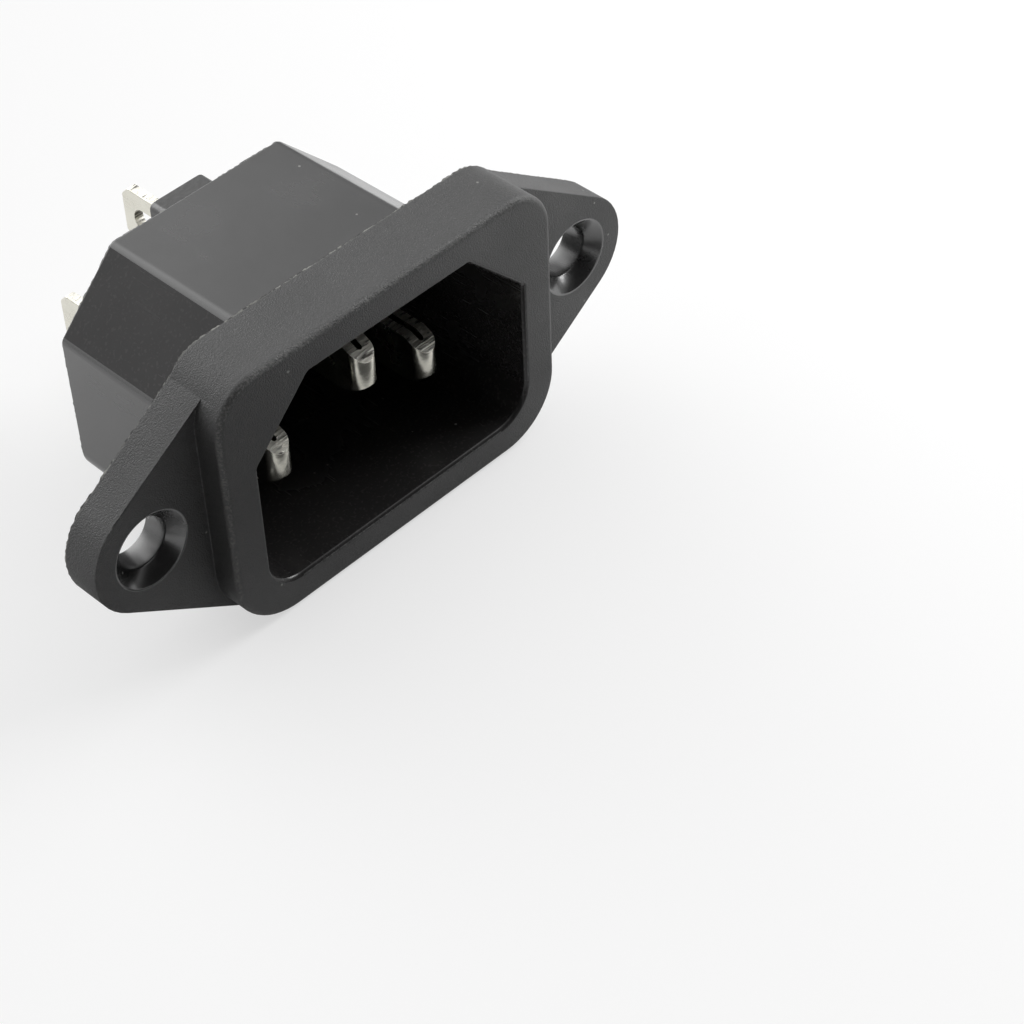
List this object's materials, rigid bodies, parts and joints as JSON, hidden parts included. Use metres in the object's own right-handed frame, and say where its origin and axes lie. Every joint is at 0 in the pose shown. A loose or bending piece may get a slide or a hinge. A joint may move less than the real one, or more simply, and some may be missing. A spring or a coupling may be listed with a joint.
{
  "type": "c14 panel inlet socket",
  "caption": "Screw-mounted appliance inlet: lozenge flange with sunk screw holes, raised collar round a deep bevelled recess with folded contact pins, and solder tabs behind.",
  "frame": {"origin": "centre of the screw line on the flange's back face, the face that lies on the panel", "axes": "-Y out of the panel towards the mating connector, +Z towards the earth pin and the bevelled corners, +X to the right seen from the mating side"},
  "size_m": [0.0494, 0.0285, 0.022],
  "materials": {
    "housing_plastic": "moulded, spark-eroded texture on the collar and smooth on the barrel",
    "plated_strip": "nickel plating over brass, brass bare at the sheared ends of the shoulders"
  },
  "bodies": {
    "root": {"housing": "housing_plastic", "line_pin": "plated_strip", "neutral_pin": "plated_strip", "earth_pin": "plated_strip"}
  },
  "joints": []
}
